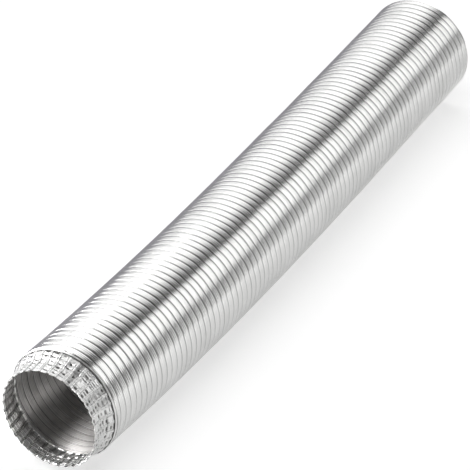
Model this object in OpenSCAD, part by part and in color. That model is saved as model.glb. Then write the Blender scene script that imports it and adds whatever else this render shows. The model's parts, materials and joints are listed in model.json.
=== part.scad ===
// Semi-rigid flexible air duct, 100 mm size, pressed together to its stock length.
// One bright aluminium strip is wound round and round and folded on itself, so the wall
// is a row of flat bands with a narrow groove between each pair. The end at the origin
// is crimped into a pleated collar that slides into a pipe, and the far end is cut plain.
// The bands are grouped into short loose sections with a slit at the groove between
// them, because that is where the wall folds open when the duct is stretched or bent.
// The mouth of the collar is centred on the origin and the duct runs along +X.

/* [Wall] */
// Outside diameter over the bands
duct_od = 104.4; // [80:0.2:160]
// Thickness of the folded wall, outside of the bands to the smooth inside
wall_t = 1.8; // [1.4:0.1:4]
// Length of one band, groove to groove, with the duct pressed together
pitch = 8; // [6:0.5:14]
// Width of the groove between two bands, at its mouth
groove_w = 1.4; // [0.9:0.1:2]
// Depth of the groove in the outside of the wall
groove_d = 0.8; // [0.3:0.05:0.9]
// Slit between two loose sections
slit = 0.4; // [0.3:0.05:0.6]
// Bevel of a loose section's inside edges, where the fold curls away from the bore
bore_bevel = 0.4; // [0.36:0.02:0.6]

/* [Sections] */
// Loose sections after the bands that stay with the collar
section_count = 41; // [4:1:50]
// Bands in each loose section
section_bands = 2; // [1:1:4]
// Bands that stay with the collar
collar_bands = 3; // [1:1:8]

/* [Curve] */
// How far the far end points to the left of the collar, degrees
far_heading = 4.5; // [0:0.5:10]
// Length over which the curve fades into a straight run
curve_len = 550; // [300:5:900]

/* [Collar] */
// Length of the crimped collar, mouth to the front of its bead
collar_len = 25.4; // [18:0.2:40]
// Outside diameter over the pleats, small enough to enter a 100 mm pipe
collar_od = 94; // [70:0.5:99]
// Length of the straight part behind the mouth
collar_straight = 16.2; // [10:0.2:18]
// Thickness of the pleated sheet
collar_t = 0.8; // [0.7:0.1:1.4]
// Number of pleats round the collar
pleats = 36; // [16:1:48]
// Radius of the hollow of a pleat
pleat_r = 0.9; // [0.5:0.1:1.2]
// Length of the rolled bead behind the collar
bead_len = 2.6; // [2:0.1:4]

/* [Hidden] */
$fn = 96;
joint_overlap = 0.05;
r_out = duct_od / 2;
r_in = r_out - wall_t;
collar_r = collar_od / 2;
wall_start = collar_len + bead_len;
section_len = section_bands * pitch;

function two_digits(i) = str(i < 10 ? "0" : "", i);
function section_name(i) = str("section_", two_digits(i));

// Heading of the duct at distance s along it: it turns most at the first loose sections,
// and less and less until the far part runs straight.
function heading(s) =
    let (t = max(0, min(1, (s - section_start(1)) / curve_len)))
    far_heading * (1 - (1 - t) * (1 - t));

function section_start(i) = wall_start + (collar_bands + (i - 1) * section_bands) * pitch;
function section_heading(i) = heading(section_start(i) + section_len / 2);
function step(i) = section_len * [cos(section_heading(i)), sin(section_heading(i)), 0];

// Where each section begins, worked out by laying them end to end.
places = [
    for (i = 1, p = [section_start(1), 0, 0]; i <= section_count; p = p + step(i), i = i + 1) p
];

// Turns a shape drawn round +Z so that it runs along +X.
module along_x() {
    rotate([0, 90, 0]) children();
}

// The outline of a V-shaped groove in the outside of the wall, in radius and length.
module groove_outline() {
    past = 0.1;
    polygon([
        [-groove_d, 0],
        [past, -groove_w / 2],
        [past, groove_w / 2]
    ]);
}

// The wall cut along its length: flat bands with a groove at each end, and a smooth bore.
module wall_outline(bands) {
    from = slit / 2;
    to = bands * pitch - slit / 2;
    difference() {
        polygon([
            [r_in, from + bore_bevel],
            [r_in + bore_bevel, from],
            [r_out, from],
            [r_out, to],
            [r_in + bore_bevel, to],
            [r_in, to - bore_bevel]
        ]);
        for (k = [0:bands]) translate([r_out, k * pitch]) groove_outline();
    }
}

module band_ring(bands) {
    along_x() rotate_extrude() wall_outline(bands);
}

// A thin round wall whose outside follows the pleats.
module pleated_ring() {
    difference() {
        circle(r = collar_r);
        circle(r = collar_r - collar_t);
        pleat_hollows();
    }
}

// The hollows pressed into the outside, one to each pleat.
module pleat_hollows() {
    for (k = [0:pleats - 1]) {
        angle = (k + 0.5) * 360 / pleats;
        rotate(angle) translate([collar_r + pleat_r / 2, 0]) circle(r = pleat_r, $fn = 24);
    }
}

// The widening part of the collar, from the end of the pleats to the bead.
module flare_outline() {
    flare_r = r_out - 1;
    polygon([
        [collar_r - collar_t, collar_straight - joint_overlap],
        [collar_r, collar_straight - joint_overlap],
        [flare_r, collar_len],
        [flare_r - collar_t, collar_len]
    ]);
}

module crimped_collar() {
    color([0.86, 0.86, 0.84]) along_x() {
        linear_extrude(height = collar_straight) pleated_ring();
        rotate_extrude() flare_outline();
    }
}

// The last turn before the crimping, rolled into a round bead.
module collar_bead() {
    bead_r = bead_len / 2;
    color([0.9, 0.9, 0.88]) along_x() rotate_extrude() intersection() {
        translate([r_out - bead_r, collar_len + bead_r]) circle(r = bead_r, $fn = 32);
        translate([r_in, collar_len]) square([wall_t, bead_len]);
    }
}

module collar_bands() {
    color([0.84, 0.84, 0.82]) translate([wall_start, 0, 0]) band_ring(collar_bands);
}

module section(i) {
    turned = [0, 0, section_heading(i)];
    color([0.84, 0.84, 0.82]) translate(places[i - 1]) rotate(turned) band_ring(section_bands);
}

crimped_collar();
collar_bead();
collar_bands();
for (i = [1:section_count]) {
    section(i);
}
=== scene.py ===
"""Looks of a semi-rigid aluminium flexible duct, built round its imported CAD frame.

The wall is one wound strip, so every visible piece is cut from one continuous surface with a
helical groove. A place on it is given by s, the distance along the duct from the collar's mouth,
and by turn, the share of a full turn from the top, positive towards -Y (the right, seen from the
mouth). All lengths are in metres.
"""

import json
import math

import bpy
import numpy as np
from mathutils import Matrix, Vector


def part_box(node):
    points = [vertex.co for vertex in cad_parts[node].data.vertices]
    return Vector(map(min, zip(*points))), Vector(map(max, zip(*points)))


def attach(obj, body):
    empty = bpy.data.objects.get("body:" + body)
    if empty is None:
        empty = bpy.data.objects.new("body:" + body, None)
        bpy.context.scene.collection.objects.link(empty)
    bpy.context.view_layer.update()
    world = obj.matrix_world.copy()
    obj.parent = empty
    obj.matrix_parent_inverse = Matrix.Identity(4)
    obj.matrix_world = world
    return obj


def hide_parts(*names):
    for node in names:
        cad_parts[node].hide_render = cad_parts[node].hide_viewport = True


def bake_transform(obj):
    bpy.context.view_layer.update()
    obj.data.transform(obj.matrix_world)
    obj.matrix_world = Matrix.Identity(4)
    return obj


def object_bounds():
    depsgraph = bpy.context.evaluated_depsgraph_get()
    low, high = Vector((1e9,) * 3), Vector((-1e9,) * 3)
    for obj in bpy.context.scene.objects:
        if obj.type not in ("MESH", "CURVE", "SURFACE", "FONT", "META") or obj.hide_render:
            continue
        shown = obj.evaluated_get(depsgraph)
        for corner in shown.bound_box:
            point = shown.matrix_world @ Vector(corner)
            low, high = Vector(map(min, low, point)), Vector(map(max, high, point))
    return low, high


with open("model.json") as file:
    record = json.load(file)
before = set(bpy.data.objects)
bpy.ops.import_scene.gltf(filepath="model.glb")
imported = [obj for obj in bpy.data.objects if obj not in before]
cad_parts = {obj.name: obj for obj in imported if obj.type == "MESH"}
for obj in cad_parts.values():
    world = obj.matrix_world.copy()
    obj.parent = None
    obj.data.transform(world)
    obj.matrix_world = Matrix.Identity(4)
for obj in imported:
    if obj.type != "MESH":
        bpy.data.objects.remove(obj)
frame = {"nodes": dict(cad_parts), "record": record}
cad_low, cad_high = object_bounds()

# ---------------------------------------------------------------- sizes, from the frame
MM = 0.001
R_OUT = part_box("collar_bands")[1].z
COLLAR_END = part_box("crimped_collar")[1].x
WALL_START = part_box("collar_bead")[1].x
SECTIONS = sum(name.startswith("section_") for name in frame["nodes"])
PITCH = 8 * MM
SECTION_LEN = 2 * PITCH
FIRST_GAP = WALL_START + 3 * PITCH
WALL_END = FIRST_GAP + SECTIONS * SECTION_LEN
WALL_T = 1.8 * MM
R_IN = R_OUT - WALL_T

# The duct curves gently to the left, most of all just behind the collar.
FAR_HEADING = math.radians(4.5)
CURVE_LEN = 550 * MM
# The mouth is bent a little to the right of the collar's line.
COLLAR_LEAN = 2 * MM

TAU = 2 * math.pi


# ---------------------------------------------------------------- centreline
def heading(s):
    """Angle of the duct's line from +X towards +Y, at distance s along it."""
    t = np.clip((s - FIRST_GAP) / CURVE_LEN, 0, 1)
    return FAR_HEADING * (1 - (1 - t) ** 2)


def centreline_table():
    """Points of the centreline every half millimetre, from before the mouth to past the end."""
    s = np.arange(-20 * MM, WALL_END + 20 * MM, 0.5 * MM)
    middle = heading((s[1:] + s[:-1]) / 2)
    step = np.diff(s)
    x = np.concatenate([[0], np.cumsum(step * np.cos(middle))])
    y = np.concatenate([[0], np.cumsum(step * np.sin(middle))])
    return s, x - np.interp(0, s, x), y


LINE_S, LINE_X, LINE_Y = centreline_table()


def place(s, turn, r):
    """World points at distance s, share of a turn and radius r from the centreline."""
    h = heading(s)
    across = r * np.sin(TAU * turn)
    lean = COLLAR_LEAN * (np.clip(1 - s / WALL_START, 0, 1)) ** 1.5
    x = np.interp(s, LINE_S, LINE_X) + across * np.sin(h)
    y = np.interp(s, LINE_S, LINE_Y) - across * np.cos(h) - lean
    return np.stack([x, y, r * np.cos(TAU * turn)], axis=-1)


def section_gap(k):
    """Distance along the duct of the gap before section k."""
    return FIRST_GAP + (k - 1) * SECTION_LEN


# ---------------------------------------------------------------- irregularities
def soft_step(x):
    x = np.clip(x, 0, 1)
    return x * x * (3 - 2 * x)


def noise_table(seed, size=4096):
    return np.random.RandomState(seed).uniform(-1, 1, size)


def line_noise(x, table):
    """Smooth noise in -1 to 1 along x, one random value at each whole number."""
    i = np.floor(x).astype(int)
    a = table[i % len(table)]
    b = table[(i + 1) % len(table)]
    return a + (b - a) * soft_step(x - i)


def ring_noise(s_cells, turn, around, table):
    """Smooth noise over the surface: cells along the duct, and a whole number of them round it."""
    c = np.mod(turn, 1) * around
    i, j = np.floor(s_cells).astype(int), np.floor(c).astype(int)
    u, v = soft_step(s_cells - i), soft_step(c - j)

    def at(a, b):
        return table[(a * 131 + (b % around)) % len(table)]

    low = at(i, j) + (at(i, j + 1) - at(i, j)) * v
    high = at(i + 1, j) + (at(i + 1, j + 1) - at(i + 1, j)) * v
    return low + (high - low) * u


# Every table has its own seed, so the shape is the same at each run.
SPACING_NOISE = noise_table(11)
TILT_NOISE = noise_table(12)
LUMP_NOISE = noise_table(13)
BODY_NOISE = noise_table(14)
PLEAT_NOISE = noise_table(15)
CREASE_NOISE = noise_table(16)


# ---------------------------------------------------------------- the wound wall
GROOVE_DEPTH = 0.85 * MM
GROOVE_FLOOR = 0.16 * MM
GROOVE_HALF = 0.66 * MM
INNER_GROOVE_DEPTH = 0.5 * MM
INNER_GROOVE_HALF = 0.5 * MM
SHOULDER = 1.2 * MM
SHOULDER_DROP = 0.13 * MM
CROWN = 0.16 * MM
INNER_CROWN = 0.4 * CROWN
# The crowns lie this far inside the CAD's outside, which leaves room for the lumps.
CREST_IN = 0.15 * MM
# Irregularities: spacing as a share of the pitch, slope of a band, height of lumps.
UNEVEN_SPACING = 0.035
TILT_MEAN, TILT_SPREAD = 0.010, 0.022
BAND_LUMP = 0.035 * MM
WIDE_LUMP, NARROW_LUMP = 0.22 * MM, 0.05 * MM


def groove_line(wind):
    """Distance along the duct of the groove, after that many turns of the strip."""
    uneven = UNEVEN_SPACING * line_noise(wind * 1.7 + 40, SPACING_NOISE)
    return WALL_START + PITCH * (wind + uneven)


def band_at(s, turn):
    """The band that holds each point: turns wound so far, and the groove lines on either side."""
    first = np.floor((s - WALL_START) / PITCH + turn) - 1
    wind = first - turn
    for ahead in (1, 2):
        step_on = groove_line(first + ahead - turn) <= s
        wind = np.where(step_on, first + ahead - turn, wind)
    return wind, groove_line(wind), groove_line(wind + 1)


def wall_shape(s, turn):
    """What the wall's outside and inside share. Gives each point's place across its band, from 0
    to 1, its distance from the nearest groove, and how far tilt and lumps lift it."""
    wind, low, high = band_at(s, turn)
    u = (s - low) / (high - low)
    near = np.minimum(s - low, high - s)
    tilt = TILT_MEAN + TILT_SPREAD * line_noise(wind * 2.6 + 90, TILT_NOISE)
    lump = BAND_LUMP * line_noise(wind * 11 + 300, LUMP_NOISE) * np.sin(np.pi * u)
    body = WIDE_LUMP * ring_noise(s / (45 * MM) + 50, turn, 5, BODY_NOISE)
    body = body + NARROW_LUMP * ring_noise(s / (12 * MM) + 90, turn, 14, BODY_NOISE)
    return u, near, tilt * (u - 0.5) * PITCH + lump + body


def outer_wall(s, turn):
    """Radius of the wall's outside, and how deep each point is in a groove, from 0 to 1, which also
    sets the shade painted into the groove.
    """
    u, near, shape = wall_shape(s, turn)
    near = np.minimum(near, s - WALL_START)
    cut = 1 - soft_step((near - GROOVE_FLOOR) / (GROOVE_HALF - GROOVE_FLOOR))
    shoulder = SHOULDER_DROP * (1 - soft_step(near / SHOULDER))
    crown = CROWN * (4 * u * (1 - u) - 1)
    return R_OUT - CREST_IN + crown + shape - shoulder - GROOVE_DEPTH * cut, cut


def inner_wall(s, turn):
    """The same for the wall's inside, which has a shallower groove."""
    u, near, shape = wall_shape(s, turn)
    cut = 1 - soft_step(near / INNER_GROOVE_HALF)
    crown = INNER_CROWN * (4 * u * (1 - u) - 1)
    return R_IN - crown + shape + INNER_GROOVE_DEPTH * cut, cut


# ---------------------------------------------------------------- the crimped collar
PLEATS = 36
PLEAT_DEPTH = 1.1 * MM
# Shares of a pleat: half a pair of ridges, the fall from it to the panel, and half the width of a
# painted dark line of shade at the ridges' edges.
RIDGE_OFF = 0.12
RIDGE_FALL = 0.09
EDGE_HALF = 0.045
RIDGE_DIP = 0.5 * MM
PIT_DEPTH = 0.45 * MM
INNER_PIT = 0.25 * MM
# Room between the bottom of a pit and the collar's inside.
PIT_CLEAR = 0.15 * MM
# Half lengths of a pit along the collar, in millimetres: at a groove of the bands, and between.
PIT_AT_GROOVE, PIT_AT_BAND = 1.3, 0.85
# Half width of a pit and how much it varies, and how far the ridges sway, as shares of a pleat.
PIT_WIDE, PIT_WIDE_SPREAD = 0.18, 0.06
RIDGE_SWAY = 0.05
CREASE_DEPTH = 0.25 * MM
CREASE_HALF = 0.6 * MM
CREASE_WANDER = 0.15 * MM
LINE_HALF = 0.35 * MM
GAP_DEPTH = 0.7 * MM
DENT = 0.10 * MM
INNER_DENT = 0.09 * MM
# How much shade is painted into pits, along creases, at the ridges' edges and in panels.
PIT_SHADE = 0.58
LINE_SHADE = 0.55
EDGE_SHADE = 0.42
PANEL_SHADE = 0.05
COLLAR_R = frame["record"]["mounts"][0]["dims"]["r_mm"] * MM
COLLAR_STRAIGHT = frame["record"]["mounts"][0]["dims"]["length_mm"] * MM
# The collar flares from here to just inside the wall, and its pleats get shallower on the way.
FLARE_START = 0.75 * COLLAR_STRAIGHT
FLARE_IN = 1.0 * MM
FLARE_FADE = 0.35
FOIL_T = 0.4 * MM
BEAD_LEN = WALL_START - COLLAR_END
BEAD_R = BEAD_LEN / 2
BEAD_RIPPLE = 0.10 * MM
BEAD_LUMP = 0.12 * MM


def collar_shape(s, turn):
    """Pairs of narrow ridges run along the collar, with a flat panel between each two pairs. The
    bands that it was crimped from cross them as creases, and leave pits in the panels. Gives the
    radius without the pits, how deep each point is in a pit, the shade painted as lines along a
    crease or an edge, how deep it is in the gap before the bead and in a panel, and the shade
    painted into that panel."""
    flare = soft_step((s - FLARE_START) / (COLLAR_END - FLARE_START))
    crest = COLLAR_R + (R_OUT - FLARE_IN - COLLAR_R) * flare
    wind, low, high = band_at(s, turn)
    row_at = 2 * (wind + turn + (s - low) / (high - low))
    half_row = np.round(row_at)
    is_groove = np.mod(half_row, 2) == 0
    near = np.abs(row_at - half_row) * PITCH / 2
    near = near + CREASE_WANDER * line_noise(turn * 210 + half_row * 17, CREASE_NOISE)
    sway = RIDGE_SWAY * line_noise(s / (5 * MM) + 9 * np.round(PLEATS * turn), CREASE_NOISE)
    across = PLEATS * turn + sway
    pleat = np.mod(np.floor(across), PLEATS)
    p = across - np.floor(across)
    off = np.minimum(p, 1 - p)

    def cell_noise(salt):
        """One random value for each pleat and half row. Each salt gives another set."""
        return PLEAT_NOISE[((pleat * 37 + half_row * 53 + salt) % len(PLEAT_NOISE)).astype(int)]

    panel = soft_step((off - RIDGE_OFF) / RIDGE_FALL)
    dip = 1 - soft_step(off / (0.8 * RIDGE_OFF))
    crease = np.exp(-((near / CREASE_HALF) ** 2))
    long_half = MM * np.where(is_groove, PIT_AT_GROOVE, PIT_AT_BAND)
    long_half = long_half * (1 + 0.2 * cell_noise(11))
    wide_half = PIT_WIDE + PIT_WIDE_SPREAD * cell_noise(7)
    square = soft_step((wide_half - np.abs(p - 0.5 - 0.05 * cell_noise(9))) / 0.08 + 0.5)
    there = soft_step(cell_noise(2) * 1.6 + np.where(is_groove, 1.2, 0.5))
    pit = np.exp(-((near / long_half) ** 4)) * square * there * soft_step(s / (1.5 * MM))
    depth = PLEAT_DEPTH * (0.9 + 0.1 * cell_noise(3)) * panel + RIDGE_DIP * dip
    depth = depth + CREASE_DEPTH * crease * (1 - 0.5 * panel)
    gap = soft_step((s - COLLAR_END + 0.8 * MM) / (0.6 * MM)) * (0.4 + 0.6 * panel)
    # Painted shade: dark lines along the creases and at the ridges' edges.
    line = LINE_SHADE * np.exp(-((near / LINE_HALF) ** 2)) * soft_step(cell_noise(17) + 0.8)
    edge = np.exp(-(((off - RIDGE_OFF - RIDGE_FALL / 2) / EDGE_HALF) ** 2))
    line = line + EDGE_SHADE * edge * soft_step(cell_noise(19) + 0.6)
    # Painted shade: the panels are darkened a little, so the bright ridges stand out.
    painted_panel_shade = PANEL_SHADE * panel * (1 + 0.9 * cell_noise(13))
    return crest - depth * (1 - FLARE_FADE * flare), pit, line, gap, panel, painted_panel_shade


def collar_outer(s, turn):
    """Radius of the collar's outside, and how much painted shade each point gets, from 0 to 1."""
    radius, pit, line, gap, _, painted_panel_shade = collar_shape(s, turn)
    dent = DENT * ring_noise(s / (1.1 * MM) + 7, turn, 190, CREASE_NOISE)
    radius = radius + dent - PIT_DEPTH * pit - GAP_DEPTH * gap
    return radius, np.clip(PIT_SHADE * pit + line + gap + painted_panel_shade, 0, 1)


def collar_inner(s, turn):
    """The same for the collar's inside. The foil is thin at the rim, and thicker behind it."""
    radius, pit, line, gap, panel, _ = collar_shape(s, turn)
    thick = FOIL_T + (PIT_DEPTH + PIT_CLEAR) * soft_step(s / (2 * MM))
    dent = INNER_DENT * ring_noise(s / (1.3 * MM) + 31, turn, 150, CREASE_NOISE)
    radius = radius + dent - thick - INNER_PIT * pit - GAP_DEPTH * gap
    # Painted shade: dark stripes along the ridges, which are grooves from inside, and along the
    # creases.
    return radius, np.clip(0.35 * (1 - panel) + 0.7 * line, 0, 1)


def bead_outer(s, turn):
    """The round back of the bead, rippled by the pleats, with shade painted where it meets its
    neighbours.
    """
    across = np.clip((s - COLLAR_END) / BEAD_LEN * 2 - 1, -0.97, 0.97)
    ripple = BEAD_RIPPLE * np.cos(TAU * PLEATS * turn)
    ripple = ripple + BEAD_LUMP * ring_noise(s * 0 + 3, turn, 24, CREASE_NOISE)
    shade = soft_step((np.abs(across) - 0.72) / 0.25)
    return R_OUT - CREST_IN - BEAD_R + (BEAD_R + ripple) * np.sqrt(1 - across**2), shade


def bead_inner(s, turn):
    """The bead is plain inside, and gets no painted shade."""
    return R_IN + 0 * s, 0 * s


# ---------------------------------------------------------------- mesh of a tube
def grid_rows(columns, s_from, s_to, offsets, shares):
    """Distances of each row of points, at each column's turn. Rows follow the groove: some lie
    at offsets from it and some at shares of the way to the next. Past an end they lie on it."""
    first = math.floor((s_from - WALL_START) / PITCH - 1.5)
    last = math.ceil((s_to - WALL_START) / PITCH + 1.5)
    rows = []
    for j in range(first, last + 1):
        here = groove_line(j - columns)
        after = groove_line(j + 1 - columns)
        rows += [here + offset for offset in offsets]
        rows += [here + (after - here) * share for share in shares]
    return np.clip(np.array(rows), s_from, s_to)


def even_rows(columns, s_from, s_to, step):
    """Rows square to the duct's line, about step apart."""
    count = max(2, int(round((s_to - s_from) / step)) + 1)
    return np.repeat(np.linspace(s_from, s_to, count)[:, None], len(columns), axis=1)


def surface_normals(profile, s, turn, outward):
    """Unit normals of the surface r = profile(s, turn)[0], by small steps along and round it."""
    ds, dt = 0.02 * MM, 2e-5

    def point(at, around):
        return place(at, around, profile(at, around)[0])

    along = point(s + ds, turn) - point(s - ds, turn)
    round_ = point(s, turn + dt) - point(s, turn - dt)
    n = np.cross(along, round_)
    n /= np.linalg.norm(n, axis=-1, keepdims=True)
    spoke = place(s, turn, np.full_like(s, R_OUT)) - place(s, turn, np.zeros_like(s))
    side = np.sign(np.sum(n * spoke, axis=-1, keepdims=True))
    return n * side * (1 if outward else -1)


class TubeMesh:
    """Collects the surfaces of one tube-shaped piece, joining points that coincide."""

    def __init__(self):
        self.points, self.normals, self.strip, self.shade = [], [], [], []
        self.faces, self.face_normals, self.wound, self.lining = [], [], [], []
        self.rims = {}

    def add_surface(self, label, profile, rows, columns, outward):
        """rows holds s for each row and column. The last column is the first one again."""
        count = len(columns) - 1
        turn = np.broadcast_to(columns, rows.shape)
        column = np.broadcast_to(np.arange(len(columns)) % count, rows.shape)
        key = np.stack([np.round(rows / 1e-8).ravel(), column.ravel()], axis=1).astype(np.int64)
        _, first, index = np.unique(key, axis=0, return_index=True, return_inverse=True)
        s, t = rows.ravel()[first], turn.ravel()[first]
        base = len(self.points)
        radius, shade = profile(s, t)
        self.points.extend(place(s, t, radius).tolist())
        self.normals.extend(surface_normals(profile, s, t, outward).tolist())
        self.strip.extend(np.stack([s, np.cos(TAU * t), np.sin(TAU * t)], axis=1).tolist())
        self.shade.extend((shade + 0 * s).tolist())
        index = (index.reshape(rows.shape) + base).tolist()
        wind, groove, next_groove = band_at(rows, turn)
        band = (wind + turn + (rows - groove) / (next_groove - groove)).tolist()
        for row in range(len(rows) - 1):
            low, high = index[row], index[row + 1]
            for c in range(count):
                corners = [low[c], low[c + 1], high[c + 1], high[c]]
                wound = [
                    (band[row][c], columns[c]),
                    (band[row][c + 1], columns[c + 1]),
                    (band[row + 1][c + 1], columns[c + 1]),
                    (band[row + 1][c], columns[c]),
                ]
                self.add_face(corners, wound, outward, not outward)
        self.rims[label] = (index[0][:count], index[-1][:count])

    def add_face(self, corners, wound, outward, lining, normal=None):
        ring = [(v, w) for i, (v, w) in enumerate(zip(corners, wound)) if v != corners[i - 1]]
        if len({v for v, _ in ring}) < 3:
            return
        if not outward:
            ring.reverse()
        self.faces.append([v for v, _ in ring])
        self.wound.extend(w for _, w in ring)
        self.face_normals.extend(self.normals[v] if normal is None else normal for v, _ in ring)
        self.lining.append(lining)

    def add_end(self, outer, inner, normal, at_start):
        """Closes the wall between two rims, which have the same columns."""
        count = len(outer)
        for c in range(count):
            d = (c + 1) % count
            corners = [outer[c], outer[d], inner[d], inner[c]]
            wound = [(0, c / count), (0, (c + 1) / count), (1, (c + 1) / count), (1, c / count)]
            self.add_face(corners, wound, not at_start, False, normal)

    def build(self, name, outside_foil, inside_foil):
        mesh = bpy.data.meshes.new(name)
        mesh.from_pydata(self.points, [], self.faces)
        mesh.update()
        strip = mesh.attributes.new("strip", "FLOAT_VECTOR", "POINT")
        strip.data.foreach_set("vector", np.array(self.strip, np.float32).ravel())
        shade = mesh.attributes.new("shade", "FLOAT", "POINT")
        shade.data.foreach_set("value", np.array(self.shade, np.float32))
        wound = mesh.uv_layers.new(name="wound")
        wound.data.foreach_set("uv", np.array(self.wound, np.float32).ravel())
        mesh.polygons.foreach_set("use_smooth", [True] * len(mesh.polygons))
        mesh.normals_split_custom_set(self.face_normals)
        mesh.materials.append(outside_foil)
        mesh.materials.append(inside_foil)
        mesh.polygons.foreach_set("material_index", np.array(self.lining, np.int32))
        piece = bpy.data.objects.new(name, mesh)
        bpy.context.scene.collection.objects.link(piece)
        return piece


def tube_piece(name, foils, s_from, s_to, outside, inside):
    """A closed tube wall. outside and inside each give the profile, the rows and the columns."""
    mesh = TubeMesh()
    mesh.add_surface("outside", *outside, True)
    mesh.add_surface("inside", *inside, False)
    (outer_start, outer_end), (inner_start, inner_end) = mesh.rims["outside"], mesh.rims["inside"]
    h_from, h_to = heading(s_from), heading(s_to)
    mesh.add_end(outer_start, inner_start, (-math.cos(h_from), -math.sin(h_from), 0), True)
    mesh.add_end(outer_end, inner_end, (math.cos(h_to), math.sin(h_to), 0), False)
    return mesh.build(name, *foils)


WALL_COLUMNS = np.arange(161) / 160 - 0.5
OUTER_OFFSETS = [v * MM for v in (-0.95, -0.72, -0.44, -0.16, 0.16, 0.44, 0.72, 0.95)]
OUTER_SHARES = [0.3, 0.5, 0.7]
INNER_OFFSETS = [v * MM for v in (-0.5, -0.25, 0, 0.25, 0.5)]
INNER_SHARES = [0.5]


def wall_piece(name, s_from, s_to):
    """A length of the wall, bright outside, and rougher inside, with painted shade darkening its
    colour there.
    """
    outer = grid_rows(WALL_COLUMNS, s_from, s_to, OUTER_OFFSETS, OUTER_SHARES)
    inner = grid_rows(WALL_COLUMNS, s_from, s_to, INNER_OFFSETS, INNER_SHARES)
    return tube_piece(
        name,
        (wall_foil, shaded_bore_foil),
        s_from,
        s_to,
        (outer_wall, outer, WALL_COLUMNS),
        (inner_wall, inner, WALL_COLUMNS),
    )


# ---------------------------------------------------------------- materials
class Nodes:
    """Short calls for building a material's node tree."""

    def __init__(self, tree):
        self.tree = tree

    def add(self, kind, **settings):
        node = self.tree.nodes.new(kind)
        for key, value in settings.items():
            setattr(node, key, value)
        return node

    def link(self, source, target):
        self.tree.links.new(source, target)

    def noise(self, vector, scale, detail=2.0, rough=0.5):
        """Noise over a vector that is first stretched by scale, one number for each axis."""
        stretch = self.add("ShaderNodeVectorMath", operation="MULTIPLY")
        stretch.inputs[1].default_value = scale
        self.link(vector, stretch.inputs[0])
        noise = self.add("ShaderNodeTexNoise")
        noise.inputs["Scale"].default_value = 1.0
        noise.inputs["Detail"].default_value = detail
        noise.inputs["Roughness"].default_value = rough
        self.link(stretch.outputs[0], noise.inputs["Vector"])
        return noise.outputs["Fac"]

    def remap(self, value, from_low, from_high, to_low, to_high):
        """A value moved from one range to another, and held inside it."""
        node = self.add("ShaderNodeMapRange")
        self.link(value, node.inputs["Value"])
        for key, number in zip(
            ("From Min", "From Max", "To Min", "To Max"), (from_low, from_high, to_low, to_high)
        ):
            node.inputs[key].default_value = number
        return node.outputs["Result"]

    def math(self, operation, a, b):
        """A sum, product and so on. Each of a and b is a number or a socket."""
        node = self.add("ShaderNodeMath", operation=operation)
        for socket, value in zip(node.inputs, (a, b)):
            if isinstance(value, (int, float)):
                socket.default_value = value
            else:
                self.link(value, socket)
        return node.outputs[0]

    def bump(self, height, strength, distance, below=None):
        """Normals for a height, on top of the bumps in below."""
        node = self.add("ShaderNodeBump")
        node.inputs["Strength"].default_value = strength
        node.inputs["Distance"].default_value = distance
        self.link(height, node.inputs["Height"])
        if below is not None:
            self.link(below, node.inputs["Normal"])
        return node.outputs["Normal"]


def foil(name, light, dark, line_bump, crease_bump, ridge_height, rough, spread):
    """Bright aluminium foil. Fine lines run round the duct, so it spreads light along the duct
    more than round it. Smudges make it a little duller, and shade is painted into the hollows.
    light and dark are its colours, ridge_height is in millimetres, rough is the range of the
    roughness, and spread is how uneven the spreading of light is, from 0 to 1."""
    material = bpy.data.materials.new(name)
    material.use_nodes = True
    n = Nodes(material.node_tree)
    shader = material.node_tree.nodes["Principled BSDF"]
    strip = n.add("ShaderNodeAttribute", attribute_name="strip").outputs["Vector"]
    shade = n.add("ShaderNodeAttribute", attribute_name="shade").outputs["Fac"]
    wound = n.add("ShaderNodeUVMap", uv_map="wound").outputs["UV"]
    lines = n.noise(wound, (7.6, 4, 1), detail=3, rough=0.6)
    fine_lines = n.noise(wound, (21, 7, 1), detail=2)
    band = n.add("ShaderNodeSeparateXYZ")
    n.link(wound, band.inputs["Vector"])
    wander = n.math("MULTIPLY", n.noise(wound, (1, 3, 1)), 5)
    phase = n.math("ADD", n.math("MULTIPLY", band.outputs["X"], RIDGES * TAU), wander)
    ridges = n.math("SINE", phase, 0)
    smudges = n.noise(strip, (38, 2.2, 2.2), detail=4, rough=0.6)
    creases = n.noise(strip, (170, 9, 9), detail=4, rough=0.55)

    tint = n.add("ShaderNodeMix", data_type="RGBA")
    tint.inputs["A"].default_value = (*dark, 1)
    tint.inputs["B"].default_value = (*light, 1)
    n.link(n.remap(n.math("ADD", smudges, lines), 0.75, 1.25, 0, 1), tint.inputs["Factor"])
    # Painted shade: the shade attribute darkens the colour towards the hollow's shade colour.
    painted_shade = n.add("ShaderNodeMix", data_type="RGBA")
    n.link(tint.outputs["Result"], painted_shade.inputs["A"])
    painted_shade.inputs["B"].default_value = (*HOLLOW_SHADE_COLOUR, 1)
    n.link(n.remap(shade, 0.1, 0.85, 0, 1), painted_shade.inputs["Factor"])
    n.link(painted_shade.outputs["Result"], shader.inputs["Base Color"])

    worn = n.math("ADD", n.math("MULTIPLY", smudges, 0.7), n.math("MULTIPLY", fine_lines, 0.3))
    n.link(n.remap(worn, 0.3, 0.7, rough[0], rough[1]), shader.inputs["Roughness"])
    tangent = n.add("ShaderNodeTangent", direction_type="UV_MAP", uv_map="wound")
    n.link(tangent.outputs["Tangent"], shader.inputs["Tangent"])
    shader.inputs["Anisotropic"].default_value = spread

    normal = n.bump(creases, crease_bump, 0.3 * MM)
    normal = n.bump(ridges, 1.0, ridge_height * MM, normal)
    normal = n.bump(lines, line_bump, 0.1 * MM, normal)
    normal = n.bump(fine_lines, line_bump * 0.6, 0.04 * MM, normal)
    n.link(normal, shader.inputs["Normal"])
    shader.inputs["Metallic"].default_value = 1.0
    return material
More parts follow.
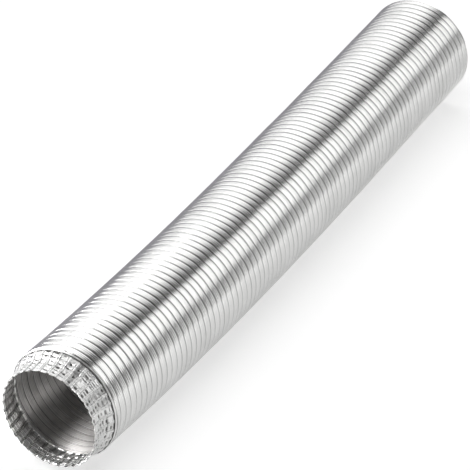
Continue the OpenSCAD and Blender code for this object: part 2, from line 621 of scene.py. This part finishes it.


# Colour of the shade painted into a deep hollow, and how many faint rolled ridges each band has.
HOLLOW_SHADE_COLOUR = (0.07, 0.067, 0.065)
RIDGES = 4
wall_foil = foil(
    "wall_foil",
    light=(0.93, 0.93, 0.92),
    dark=(0.83, 0.83, 0.82),
    line_bump=0.25,
    crease_bump=0.08,
    ridge_height=0.07,
    rough=(0.19, 0.24),
    spread=0.6,
)
# The inside is the same foil, with a darker colour that is painted shade for the dim inside of the
# duct.
shaded_bore_foil = foil(
    "shaded_bore_foil",
    light=(0.60, 0.585, 0.575),
    dark=(0.35, 0.34, 0.333),
    line_bump=0.5,
    crease_bump=0.12,
    ridge_height=0.05,
    rough=(0.44, 0.49),
    spread=1.0,
)
collar_foil = foil(
    "collar_foil",
    light=(0.94, 0.94, 0.93),
    dark=(0.87, 0.87, 0.86),
    line_bump=0.5,
    crease_bump=0.2,
    ridge_height=0.09,
    rough=(0.27, 0.34),
    spread=0.3,
)


# ---------------------------------------------------------------- pieces of the duct
# Columns of the mesh to each pleat.
COLLAR_COLUMNS, BEAD_COLUMNS = 18, 8


def make_collar():
    """The crimped collar and its bead, which ride with the first bands on the collar body."""
    columns = np.arange(PLEATS * COLLAR_COLUMNS + 1) / (PLEATS * COLLAR_COLUMNS) - 0.5
    rows = even_rows(columns, 0, COLLAR_END, step=0.4 * MM)
    collar = tube_piece(
        "crimped_collar_foil",
        (collar_foil, collar_foil),
        0,
        COLLAR_END,
        (collar_outer, rows, columns),
        (collar_inner, rows, columns),
    )
    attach(collar, "collar")
    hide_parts("crimped_collar")

    columns = np.arange(PLEATS * BEAD_COLUMNS + 1) / (PLEATS * BEAD_COLUMNS) - 0.5
    outer_rows = even_rows(columns, COLLAR_END, WALL_START, step=0.18 * MM)
    inner_rows = even_rows(columns, COLLAR_END, WALL_START, step=1.3 * MM)
    bead = tube_piece(
        "collar_bead_foil",
        (collar_foil, collar_foil),
        COLLAR_END,
        WALL_START,
        (bead_outer, outer_rows, columns),
        (bead_inner, inner_rows, columns),
    )
    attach(bead, "collar")
    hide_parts("collar_bead")


def body(k):
    """The body before gap k + 1: the collar, or section k."""
    return "collar" if k == 0 else f"section_{k:02d}"


# Bend pieces reach this far either side of their gap, and stretch pieces fill the wall between
# them.
BEND_REACH = 2 * MM
# Lengths by the collar and at the cut end that stay as they are.
COLLAR_HOLD = 10 * MM
END_HOLD = 8 * MM


def make_wall():
    """The wall from the bead to the cut end, one piece to a joint, each reaching across its gap."""
    start = WALL_START + COLLAR_HOLD
    bands = wall_piece("wall_by_collar", WALL_START, start)
    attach(bands, "collar")
    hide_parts("collar_bands")
    for k in range(1, SECTIONS + 1):
        stretches = k % 2 == 1
        if k == SECTIONS:
            end = WALL_END - END_HOLD
        elif stretches:
            end = section_gap(k + 1) - BEND_REACH
        else:
            end = section_gap(k) + BEND_REACH
        kind = "stretch" if stretches else "bend"
        piece = wall_piece(f"wall_{kind}_{k:02d}", start, end)
        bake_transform(piece)
        if stretches:
            stands_for = [body(k)] if k == 1 else [body(k - 1), body(k)]
            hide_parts(*stands_for)
        start = end
    edge = wall_piece("wall_cut_end", start, WALL_END)
    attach(edge, body(SECTIONS))


make_collar()
make_wall()


# ---------------------------------------------------------------- floor, lights and camera
def make_floor():
    """A wide pale floor just under the duct. It glows a little, so it stays near white."""
    size = 60
    mesh = bpy.data.meshes.new("floor")
    corners = [(-size, -size, 0), (size, -size, 0), (size, size, 0), (-size, size, 0)]
    mesh.from_pydata(corners, [], [(0, 1, 2, 3)])
    floor = bpy.data.objects.new("floor", mesh)
    floor.location.z = cad_low.z - 0.2 * MM
    bpy.context.scene.collection.objects.link(floor)
    material = bpy.data.materials.new("floor_paper")
    material.use_nodes = True
    n = Nodes(material.node_tree)
    shader = material.node_tree.nodes["Principled BSDF"]
    place_on_floor = n.add("ShaderNodeTexCoord").outputs["Object"]
    mottle = n.noise(place_on_floor, (3, 3, 3), detail=3)
    n.link(n.remap(mottle, 0, 1, 0.9, 0.93), shader.inputs["Base Color"])
    shader.inputs["Emission Color"].default_value = (1, 1, 1, 1)
    shader.inputs["Emission Strength"].default_value = 0.475
    shader.inputs["Roughness"].default_value = 0.9
    shader.inputs["Specular IOR Level"].default_value = 0.1
    mesh.materials.append(material)


def area_light(name, location, target, width, length, radiance, glossy=True, diffuse=True):
    """A soft rectangular light that shines on target. The camera doesn't see it."""
    data = bpy.data.lights.new(name, "AREA")
    data.shape = "RECTANGLE"
    data.size, data.size_y = width, length
    data.energy = radiance * math.pi * width * length
    light = bpy.data.objects.new(name, data)
    away = Vector(location) - Vector(target)
    side = Vector((1, 0, 0)).cross(away).normalized()
    along = away.normalized().cross(side)
    turn = Matrix((side, along, away.normalized())).transposed()
    light.matrix_world = Matrix.Translation(Vector(location)) @ turn.to_4x4()
    light.visible_camera = False
    light.visible_glossy = glossy
    light.visible_diffuse = diffuse
    bpy.context.scene.collection.objects.link(light)


def softbox(name, low_angle, high_angle, middle_x, length, radiance, distance=3.0):
    """A panel along the duct that only the foil sees. Its lower and upper edge are at two angles
    round the duct's line, in degrees up from the floor on the +Y side."""
    middle = math.radians((low_angle + high_angle) / 2)
    half = math.radians((high_angle - low_angle) / 2)
    focus = Vector((middle_x, 0, 0))
    location = focus + distance * Vector((0, math.cos(middle), math.sin(middle)))
    width = 2 * distance * math.tan(half)
    area_light(name, location, focus, width, length, radiance, diffuse=False)


def make_lights():
    """Long panels beside the duct light the foil only, and a wide one overhead lights the floor."""
    # A broad one on the left, which fades at its upper edge. Its gap to the next is a dark streak.
    softbox("left_softbox", 16, 77, middle_x=6.2, length=13, radiance=1.2)
    softbox("left_softbox_top", 77, 85, middle_x=6.2, length=13, radiance=0.85)
    softbox("left_softbox_edge", 85, 94, middle_x=6.2, length=13, radiance=0.5)
    # A small one in front of the mouth, for the lit patch inside it.
    softbox("mouth_panel", 2, 54, middle_x=-0.34, length=0.62, radiance=13.5, distance=0.25)
    # One on the right, and a weak one under it for the second dark streak.
    softbox("right_softbox", 115, 154, middle_x=6.5, length=13, radiance=1.1)
    softbox("right_low_panel", 154, 178, middle_x=2, length=16, radiance=0.17)
    area_light("floor_light", (0.3, 0.9, 5), (0.3, 0, 0), 8, 8, 1.2, glossy=False)


make_lights()


def make_world():
    """Grey surroundings for the foil to reflect, and a white backdrop past the floor."""
    world = bpy.data.worlds.new("studio")
    bpy.context.scene.world = world
    world.use_nodes = True
    n = Nodes(world.node_tree)
    background = world.node_tree.nodes["Background"]
    seen = n.add("ShaderNodeLightPath").outputs["Is Camera Ray"]
    shade = n.add("ShaderNodeMix", data_type="RGBA")
    shade.inputs["A"].default_value = (0.11, 0.109, 0.11, 1)
    shade.inputs["B"].default_value = (0.95, 0.95, 0.95, 1)
    n.link(seen, shade.inputs["Factor"])
    n.link(shade.outputs["Result"], background.inputs["Color"])


def make_camera():
    """A long lens, looking along the duct from the collar's end, to the left of the duct's line."""
    heading_in, down = math.radians(31.44), math.radians(32.34)
    lens, distance = 281.0, 3.0746
    across, up = -0.1378, -0.13576
    roll = 0.004
    anchor = Vector((WALL_START + PITCH, 0, 0))
    level = Vector((math.cos(heading_in), math.sin(heading_in), 0))
    right = Vector((math.sin(heading_in), -math.cos(heading_in), 0))
    ahead = math.cos(down) * level - math.sin(down) * Vector((0, 0, 1))
    above = math.sin(down) * level + math.cos(down) * Vector((0, 0, 1))
    right, above = right - roll * above, above + roll * right
    right, above = right.normalized(), above.normalized()
    data = bpy.data.cameras.new("camera")
    data.lens, data.sensor_width = lens, 36
    data.clip_start, data.clip_end = 0.05, 200
    camera = bpy.data.objects.new("camera", data)
    spot = anchor - across * right - up * above - distance * ahead
    turn = Matrix((right, above, -ahead)).transposed()
    camera.matrix_world = Matrix.Translation(spot) @ turn.to_4x4()
    bpy.context.scene.collection.objects.link(camera)
    bpy.context.scene.camera = camera


# Where the cards start and end along the duct, and the share of their width that they fade over.
CARD_START, CARD_END = -2, 8
CARD_FADE = 0.15


def make_card(name, near_y, far_y, far_z, near_grey, far_grey):
    """A grey card along the duct that only the foil sees. It gives the duct's edge its outline.
    It lies on the floor at near_y, rises to far_z at far_y, and fades from one grey to another."""
    mesh = bpy.data.meshes.new(name)
    corners = [
        (CARD_START, near_y, 0),
        (CARD_END, near_y, 0),
        (CARD_END, far_y, far_z),
        (CARD_START, far_y, far_z),
    ]
    mesh.from_pydata(corners, [], [(0, 1, 2, 3)])
    card = bpy.data.objects.new(name, mesh)
    card.location.z = cad_low.z + 1 * MM
    bpy.context.scene.collection.objects.link(card)
    material = bpy.data.materials.new(name)
    material.use_nodes = True
    n = Nodes(material.node_tree)
    shader = material.node_tree.nodes["Principled BSDF"]
    shader.inputs["Base Color"].default_value = (0, 0, 0, 1)
    shader.inputs["Specular IOR Level"].default_value = 0
    shader.inputs["Emission Strength"].default_value = 1
    at = n.add("ShaderNodeSeparateXYZ")
    n.link(n.add("ShaderNodeTexCoord").outputs["Object"], at.inputs["Vector"])
    grey = n.add("ShaderNodeMix", data_type="RGBA")
    grey.inputs["A"].default_value = (*near_grey, 1)
    grey.inputs["B"].default_value = (*far_grey, 1)
    middle_y = near_y + (far_y - near_y) * CARD_FADE
    n.link(n.remap(at.outputs["Y"], near_y, middle_y, 0, 1), grey.inputs["Factor"])
    n.link(grey.outputs["Result"], shader.inputs["Emission Color"])
    mesh.materials.append(material)
    card.visible_camera = False
    card.visible_diffuse = False
    card.visible_shadow = False


make_floor()
make_card("left_card", 0.09, 2.9, 0.9, (0.32, 0.315, 0.34), (0.29, 0.285, 0.31))
# The right card is darker near the duct and the under card is grey: they stand in for the floor's
# shade beside and under the duct, as the foil reflects it. This is painted shade.
make_card("right_card", -0.06, -2.9, 0, (0.68, 0.68, 0.68), (1.05, 1.05, 1.05))
make_card("under_card", -0.015, -0.06, 0, (0.60, 0.60, 0.60), (0.60, 0.60, 0.60))
make_world()
make_camera()
bpy.context.scene.view_settings.view_transform = "Standard"
